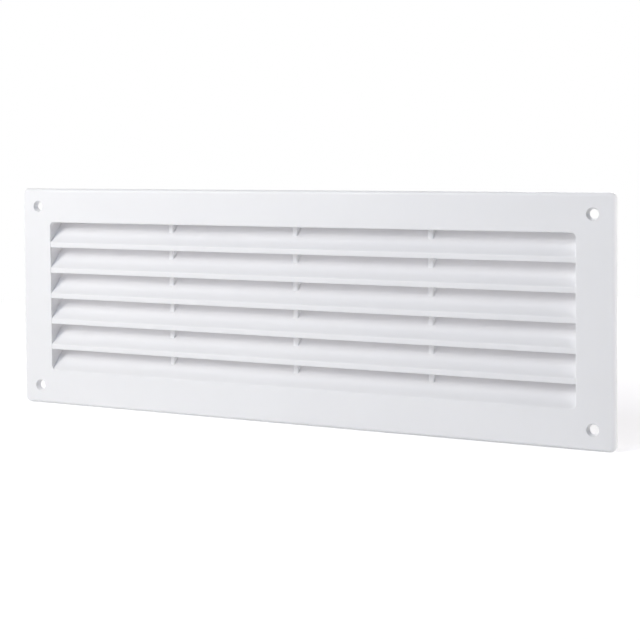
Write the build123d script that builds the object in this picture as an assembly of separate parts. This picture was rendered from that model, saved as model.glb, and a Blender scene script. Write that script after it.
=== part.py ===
from build123d import *

import math
import os

# A one-piece moulded louvre grille that covers a ventilation opening in a wall or door.
# Frame: X to the right, Y into the wall, Z up. The wall plane is Y = 0, the front faces -Y,
# and the origin is the middle of the four screw holes on the wall plane. Millimetres.

# Flange: the frame that hides the edge of the wall opening
flange_width = 368.0
flange_height = 130.0
flange_skin = 2.4            # thickness of the flat frame
rim_proud = 0.8              # how far the outer rim stands behind the skin, to meet the wall
rim_width = 2.0
flange_corner_radius = 3.3
flange_edge_radius = 2.0     # rounding of the outer front edge
recess_corner_radius = 1.5   # inner corners of the hollow back

# Opening in the flange
border_side = 20.6
border_top = 20.3
border_bottom = 20.7
opening_corner_radius = 2.4
opening_edge_radius = 0.5

# Screw holes that narrow through the skin, for raised countersunk heads
hole_inset_side = 11.7
hole_inset_end = 10.75       # from the top and bottom edges
hole_diameter = 4.7
hole_mouth_diameter = 6.7
boss_wall = 2.2              # ring behind the skin that carries each hole back to the wall

# Louvres: sloping slats, and a sill of the same section at the bottom of the opening
slat_count = 5
slat_angle = 45.0
slat_thickness = 2.25
top_gap = 12.1               # from the top of the opening to the first slat's front edge
sill_step = 0.1              # sill edge above the bottom of the opening
lip_setback = 0.3            # slat front behind the flange front
lip_top_radius = 0.7
lip_bottom_radius = 0.2
tail_radius = 0.4
louvre_depth = 13.6          # slat tail behind the flange front

# Ribs that tie the slats together
rib_count = 3
rib_thickness = 3.1
rib_setback = 7.0            # rib front behind the flange front
rib_edge_radius = 0.7

# Collar: the rectangular spigot that stands in the wall opening
collar_wall = 1.8
collar_step = 8.5            # collar inside above and below the flange opening, an air way
collar_proud = 2.6           # collar behind the slat tails
collar_corner_radius = 3.0   # inside
collar_lead_in = 0.6

# How far slats and ribs run into the walls that carry them
root_overlap = 0.6

# Derived places
flange_depth = flange_skin + rim_proud
front_y = -flange_depth
skin_back_y = front_y + flange_skin
tail_y = front_y + louvre_depth
collar_back_y = tail_y + collar_proud

opening_width = flange_width - 2 * border_side
opening_height = flange_height - border_top - border_bottom
opening_top = flange_height / 2 - border_top
opening_middle = opening_top - opening_height / 2

lip_height = slat_thickness / math.cos(math.radians(slat_angle))
slat_pitch = (opening_height - top_gap - sill_step) / slat_count
bay_width = opening_width / (rib_count + 1)
collar_height = opening_height + 2 * collar_step
slat_slope = math.tan(math.radians(slat_angle))
first_lip_top = opening_top - top_gap

# The header wall slopes up behind the top border from the opening's edge, like one more slat.
# Its two faces are given by their heights where the slats' fronts stand.
header_bottom = opening_top - (opening_edge_radius - lip_setback) * slat_slope
header_top = header_bottom + lip_height


def slab(width, height, radius, near_y, far_y, middle_z=0.0):
    """Rounded rectangular plate between two planes across Y."""
    outline = Pos(0, middle_z) * RectangleRounded(width, height, radius)
    return extrude(Plane.XZ.offset(-far_y) * outline, far_y - near_y)


def screw_hole():
    """Cutter for one hole along Y: a cone through the skin, then straight through the boss."""
    profile = Polyline(
        (0, front_y),
        (hole_mouth_diameter / 2, front_y),
        (hole_diameter / 2, skin_back_y),
        (hole_diameter / 2, 0),
        (0, 0),
        close=True,
    )
    return revolve(make_face(profile), Axis.Y)


def screw_boss():
    """Round pad that fills the hollow back around one hole, so the screw can't bend the skin."""
    outline = Circle(hole_diameter / 2 + boss_wall)
    return extrude(Plane.XZ * outline, rim_proud)


def header_slope():
    """Cutter that carries the header's underside through the skin to the opening's rounded edge."""
    edge_y = front_y + opening_edge_radius
    back_top = opening_top + (skin_back_y - edge_y) * slat_slope
    section = make_face(
        Polyline((edge_y, opening_top), (skin_back_y, back_top), (skin_back_y, opening_top), close=True)
    )
    return extrude(Plane.YZ * section, opening_width / 2 - opening_corner_radius, both=True)


def make_flange():
    plate = slab(flange_width, flange_height, flange_corner_radius, front_y, 0)
    front_face = plate.faces().sort_by(Axis.Y)[0]
    plate = fillet(front_face.edges(), flange_edge_radius)

    recess_width = flange_width - 2 * rim_width
    recess_height = flange_height - 2 * rim_width
    plate -= slab(recess_width, recess_height, recess_corner_radius, skin_back_y, 0)

    hole_x = flange_width / 2 - hole_inset_side
    hole_z = flange_height / 2 - hole_inset_end
    hole_places = [Pos(side * hole_x, 0, end * hole_z) for side in (-1, 1) for end in (-1, 1)]
    for place in hole_places:
        plate += place * screw_boss()

    plate -= slab(opening_width, opening_height, opening_corner_radius, front_y, 0, opening_middle)
    front_face = plate.faces().sort_by(Axis.Y)[0]
    plate = fillet(front_face.inner_wires()[0].edges(), opening_edge_radius)
    plate -= header_slope()

    for place in hole_places:
        plate -= place * screw_hole()
    return plate


def space_above(height):
    """Everything above a plane that slopes like the slats and meets their front line at a height."""
    lip_y = front_y + lip_setback
    reach = collar_back_y - lip_y
    top = height + reach * slat_slope
    section = make_face(Polyline((lip_y, height), (collar_back_y, top), (lip_y, top), close=True))
    return extrude(Plane.YZ * section, flange_width / 2, both=True)


def make_collar():
    """Rectangular spigot whose top front corner is a sloping header wall, as thick as a slat."""
    outside = slab(
        opening_width + 2 * collar_wall,
        collar_height + 2 * collar_wall,
        collar_corner_radius + collar_wall,
        skin_back_y,
        collar_back_y,
        opening_middle,
    )
    outside = chamfer(outside.faces().sort_by(Axis.Y)[-1].edges(), collar_lead_in)
    inside = slab(
        opening_width, collar_height, collar_corner_radius, skin_back_y, collar_back_y, opening_middle
    )
    outside -= space_above(header_top)
    inside -= space_above(header_top - lip_height)
    return outside - inside


def make_slat(lip_top):
    """One slat: a parallelogram section that rises to the back, cut upright at front and tail."""
    lip_y = front_y + lip_setback
    rise = (tail_y - lip_y) * slat_slope
    corners = [
        (lip_y, lip_top - lip_height),
        (lip_y, lip_top),
        (tail_y, lip_top + rise),
        (tail_y, lip_top + rise - lip_height),
    ]
    radii = [lip_bottom_radius, lip_top_radius, tail_radius, tail_radius]
    section = make_face(FilletPolyline(corners, radius=radii, close=True))
    return extrude(Plane.YZ * section, opening_width / 2 + root_overlap, both=True)


def make_rib(middle_x):
    """One upright rib behind the slat fronts, from the collar's bottom wall to its top wall."""
    rib_y = front_y + rib_setback
    section = Pos(middle_x, (rib_y + tail_y) / 2) * Rectangle(rib_thickness, tail_y - rib_y)
    front_corners = section.vertices().group_by(Axis.Y)[0]
    section = fillet(front_corners, rib_edge_radius)
    half_height = collar_height / 2 + root_overlap
    return Pos(0, 0, opening_middle) * extrude(section, half_height, both=True)


def make_grille():
    grille = make_flange() + make_collar()
    for index in range(slat_count + 1):
        grille += make_slat(first_lip_top - index * slat_pitch)
    for index in range(rib_count):
        grille += make_rib((index + 1) * bay_width - opening_width / 2)
    return grille


grille = make_grille()
grille.label = "louvre_grille"

os.makedirs("parts", exist_ok=True)
export_step(grille, "parts/louvre_grille.step")
print("slat pitch", round(slat_pitch, 3), "lip height", round(lip_height, 3))
print("hole spacing", flange_width - 2 * hole_inset_side, flange_height - 2 * hole_inset_end)
print("solids", len(grille.solids()), "volume cm3", round(grille.volume / 1000, 2))
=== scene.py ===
import math

import bpy
from mathutils import Matrix, Vector


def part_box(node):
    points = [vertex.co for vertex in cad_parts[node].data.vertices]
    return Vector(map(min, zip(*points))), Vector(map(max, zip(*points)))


# Looks, floor, light and camera for a white moulded ventilation grille. The grille itself is the
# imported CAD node: X to the right, Y into the wall, Z up, metres, louvres facing -Y.

WHITE = (1.0, 1.0, 1.0, 1.0)
NOISE_RANGE = (0.3, 0.7)     # where most values of a noise texture lie

# Plastic: white, satin, with a fine mould grain
PLASTIC_LIGHT = (0.910, 0.910, 0.918, 1.0)
PLASTIC_DARK = (0.890, 0.890, 0.900, 1.0)
PLASTIC_IOR = 1.49
CLOUD_SCALE = 9.0            # slow drift of the colour, about one change in 110 mm
CLOUD_DETAIL = 2.0
CLOUD_RANGE = (0.35, 0.65)   # noise values that give the dark and the light plastic
SATIN_SCALE = 55.0           # patches that differ in gloss, about 18 mm
SATIN_DETAIL = 3.0
ROUGHNESS_RANGE = (0.40, 0.50)
GRAIN_SCALE = 1700.0         # mould grain, about 0.6 mm
GRAIN_DETAIL = 2.0
GRAIN_STRENGTH = 0.06
GRAIN_DEPTH = 0.00004

# Floor: a plain pale sheet under the grille that keeps its shadow and turns white further out
FLOOR_COLOUR = (0.90, 0.90, 0.90, 1.0)
FLOOR_HALF_SIZE = 6.0
FLOOR_LIFT = 0.42            # white added to the floor where it is seen, sheds no soft light
FLOOR_FADE = (0.30, 0.75)    # distance from below the grille's middle over which it turns white

# Soft studio lamps, aimed at the middle of the grille. Azimuth 0 is straight in front and
# grows to the right, elevation is above the level of the grille, both in degrees. Size is
# width and height. The warm and cool tints nearly even out on the front of the grille.
LAMPS = [
    {"name": "key", "azimuth": -36, "elevation": 18, "distance": 1.3,
     "size": (0.46, 0.46), "watts": 6.1, "colour": (0.99, 0.98, 0.97)},
    {"name": "key_top", "azimuth": -30, "elevation": 36, "distance": 1.3,
     "size": (0.45, 0.55), "watts": 3.3, "colour": (1.00, 0.93, 0.66)},
    {"name": "fill", "azimuth": -12, "elevation": 39, "distance": 1.2,
     "size": (0.80, 0.80), "watts": 4.6, "colour": (0.68, 0.76, 1.00)},
    {"name": "back", "azimuth": 180, "elevation": 20, "distance": 0.9,
     "size": (0.40, 0.40), "watts": 3.2, "colour": (1.00, 0.95, 1.00)},
    {"name": "left_edge", "azimuth": -115, "elevation": 6, "distance": 0.9,
     "size": (0.40, 0.40), "watts": 1.2, "colour": (0.97, 0.98, 1.00)},
    {"name": "right_edge", "azimuth": 92.5, "elevation": 8, "distance": 0.9,
     "size": (0.15, 0.60), "watts": 3.9, "colour": (1.00, 0.99, 0.98)},
    {"name": "top_edge", "azimuth": 180, "elevation": 86, "distance": 0.9,
     "size": (0.60, 0.12), "watts": 0.9, "colour": (1.00, 0.98, 1.00)},
]
WORLD_COLOUR = (1.00, 0.97, 1.00, 1.0)
WORLD_LEVEL = 0.01

# Camera: found from the outline, the slats and the ribs in the photo
CAMERA_PLACE = (0.3910, -0.7234, 0.0882)
CAMERA_VIEW = (-0.4581, 0.8881, -0.0388)
CAMERA_UP = (-0.0108, 0.0381, 0.9992)
IMAGE_SIZE = 640
FOCAL_PIXELS = 1487.06
CENTRE_ROW = 205.717         # row of the photo that the camera points at
SENSOR_WIDTH = 36.0


def new_material(name):
    """A material with an empty node tree and its output node."""
    material = bpy.data.materials.new(name)
    material.use_nodes = True
    tree = material.node_tree
    tree.nodes.clear()
    return material, tree, tree.nodes.new("ShaderNodeOutputMaterial")


def noise(tree, place, scale, detail):
    """Noise over the object's own coordinates."""
    node = tree.nodes.new("ShaderNodeTexNoise")
    node.inputs["Scale"].default_value = scale
    node.inputs["Detail"].default_value = detail
    tree.links.new(place, node.inputs["Vector"])
    return node.outputs["Fac"]


def spread(tree, value, from_range, to_range):
    """Stretches a value from one range onto another and keeps it inside."""
    node = tree.nodes.new("ShaderNodeMapRange")
    node.inputs["From Min"].default_value = from_range[0]
    node.inputs["From Max"].default_value = from_range[1]
    node.inputs["To Min"].default_value = to_range[0]
    node.inputs["To Max"].default_value = to_range[1]
    tree.links.new(value, node.inputs["Value"])
    return node.outputs["Result"]


def combine(tree, operation, first, second):
    """One sum, product or other operation on two values."""
    node = tree.nodes.new("ShaderNodeMath")
    node.operation = operation
    tree.links.new(first, node.inputs[0])
    tree.links.new(second, node.inputs[1])
    return node.outputs["Value"]


def mix_shaders(tree, share, first, second):
    """The first shader, or the second as far as the share says."""
    node = tree.nodes.new("ShaderNodeMixShader")
    tree.links.new(share, node.inputs["Fac"])
    tree.links.new(first, node.inputs[1])
    tree.links.new(second, node.inputs[2])
    return node.outputs["Shader"]


def seen_ray(tree):
    """1 for rays from the camera, a reflection or a clear body, 0 for soft light."""
    rays = tree.nodes.new("ShaderNodeLightPath")
    total = rays.outputs["Is Camera Ray"]
    for name in ("Is Glossy Ray", "Is Transmission Ray"):
        total = combine(tree, "MAXIMUM", total, rays.outputs[name])
    return total


def plastic_material():
    material, tree, output = new_material("white_plastic")
    shader = tree.nodes.new("ShaderNodeBsdfPrincipled")
    shader.inputs["IOR"].default_value = PLASTIC_IOR
    tree.links.new(shader.outputs["BSDF"], output.inputs["Surface"])
    place = tree.nodes.new("ShaderNodeTexCoord").outputs["Object"]

    # Colour drifts slowly between two near whites
    ramp = tree.nodes.new("ShaderNodeValToRGB")
    dark, light = ramp.color_ramp.elements
    dark.position, light.position = CLOUD_RANGE
    dark.color = PLASTIC_DARK
    light.color = PLASTIC_LIGHT
    tree.links.new(noise(tree, place, CLOUD_SCALE, CLOUD_DETAIL), ramp.inputs["Fac"])
    tree.links.new(ramp.outputs["Color"], shader.inputs["Base Color"])

    # Gloss differs a little from patch to patch
    patches = noise(tree, place, SATIN_SCALE, SATIN_DETAIL)
    tree.links.new(spread(tree, patches, NOISE_RANGE, ROUGHNESS_RANGE), shader.inputs["Roughness"])

    # Fine grain from the mould
    bump = tree.nodes.new("ShaderNodeBump")
    bump.inputs["Strength"].default_value = GRAIN_STRENGTH
    bump.inputs["Distance"].default_value = GRAIN_DEPTH
    tree.links.new(noise(tree, place, GRAIN_SCALE, GRAIN_DETAIL), bump.inputs["Height"])
    tree.links.new(bump.outputs["Normal"], shader.inputs["Normal"])
    return material


def floor_material():
    material, tree, output = new_material("floor")
    sheet = tree.nodes.new("ShaderNodeBsdfDiffuse")
    sheet.inputs["Color"].default_value = FLOOR_COLOUR
    seen = seen_ray(tree)

    # Near the grille the floor shows its shadow, with some white added where it is seen
    lift = tree.nodes.new("ShaderNodeEmission")
    weight = tree.nodes.new("ShaderNodeMath")
    weight.operation = "MULTIPLY"
    weight.inputs[1].default_value = FLOOR_LIFT
    tree.links.new(seen, weight.inputs[0])
    tree.links.new(weight.outputs["Value"], lift.inputs["Strength"])
    near = tree.nodes.new("ShaderNodeAddShader")
    tree.links.new(sheet.outputs["BSDF"], near.inputs[0])
    tree.links.new(lift.outputs["Emission"], near.inputs[1])

    # Further out it is plain white where it is seen
    white = tree.nodes.new("ShaderNodeEmission")
    white.inputs["Color"].default_value = WHITE
    reach = tree.nodes.new("ShaderNodeVectorMath")
    reach.operation = "LENGTH"
    tree.links.new(tree.nodes.new("ShaderNodeTexCoord").outputs["Object"], reach.inputs[0])
    far = spread(tree, reach.outputs["Value"], FLOOR_FADE, (0.0, 1.0))
    share = combine(tree, "MULTIPLY", far, seen)
    surface = mix_shaders(tree, share, near.outputs["Shader"], white.outputs["Emission"])
    tree.links.new(surface, output.inputs["Surface"])
    return material


def add_floor(height):
    half = FLOOR_HALF_SIZE
    corners = [(-half, -half, 0), (half, -half, 0), (half, half, 0), (-half, half, 0)]
    mesh = bpy.data.meshes.new("floor")
    mesh.from_pydata(corners, [], [(0, 1, 2, 3)])
    mesh.materials.append(floor_material())
    floor = bpy.data.objects.new("floor", mesh)
    floor.location = (0, 0, height)
    bpy.context.scene.collection.objects.link(floor)


def add_world():
    """Weak even light, and a white backdrop where it is seen."""
    world = bpy.data.worlds.new("studio")
    world.use_nodes = True
    tree = world.node_tree
    tree.nodes.clear()
    light = tree.nodes.new("ShaderNodeBackground")
    light.inputs["Color"].default_value = WORLD_COLOUR
    light.inputs["Strength"].default_value = WORLD_LEVEL
    white = tree.nodes.new("ShaderNodeBackground")
    white.inputs["Color"].default_value = WHITE
    output = tree.nodes.new("ShaderNodeOutputWorld")
    surface = mix_shaders(
        tree, seen_ray(tree), light.outputs["Background"], white.outputs["Background"]
    )
    tree.links.new(surface, output.inputs["Surface"])
    bpy.context.scene.world = world


def add_lamp(name, azimuth, elevation, distance, size, watts, colour):
    across = math.radians(azimuth)
    above = math.radians(elevation)
    away = Vector((
        math.sin(across) * math.cos(above),
        -math.cos(across) * math.cos(above),
        math.sin(above),
    ))
    light = bpy.data.lights.new(name, "AREA")
    light.shape = "RECTANGLE"
    light.size, light.size_y = size
    light.energy = watts
    light.color = colour
    lamp = bpy.data.objects.new(name, light)
    lamp.location = away * distance
    lamp.rotation_mode = "QUATERNION"
    lamp.rotation_quaternion = (-away).to_track_quat("-Z", "Y")
    bpy.context.scene.collection.objects.link(lamp)


def add_camera():
    view = Vector(CAMERA_VIEW).normalized()
    right = view.cross(Vector(CAMERA_UP)).normalized()
    up = right.cross(view)
    turn = Matrix((right, up, -view)).transposed().to_4x4()
    data = bpy.data.cameras.new("camera")
    data.sensor_width = SENSOR_WIDTH
    data.lens = FOCAL_PIXELS * SENSOR_WIDTH / IMAGE_SIZE
    data.shift_y = (CENTRE_ROW - IMAGE_SIZE / 2) / IMAGE_SIZE
    camera = bpy.data.objects.new("camera", data)
    camera.matrix_world = Matrix.Translation(CAMERA_PLACE) @ turn
    bpy.context.scene.collection.objects.link(camera)
    bpy.context.scene.camera = camera


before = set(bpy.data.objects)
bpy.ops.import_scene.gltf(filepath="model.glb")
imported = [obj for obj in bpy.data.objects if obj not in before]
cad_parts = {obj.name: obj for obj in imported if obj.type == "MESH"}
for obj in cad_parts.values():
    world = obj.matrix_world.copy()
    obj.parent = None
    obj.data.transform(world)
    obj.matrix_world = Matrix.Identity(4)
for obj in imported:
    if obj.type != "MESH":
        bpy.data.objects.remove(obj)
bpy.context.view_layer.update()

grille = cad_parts["louvre_grille"]
grille.data.materials.clear()
grille.data.materials.append(plastic_material())

add_floor(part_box("louvre_grille")[0].z)
add_world()
for lamp in LAMPS:
    add_lamp(**lamp)
add_camera()
bpy.context.scene.view_settings.view_transform = "Standard"
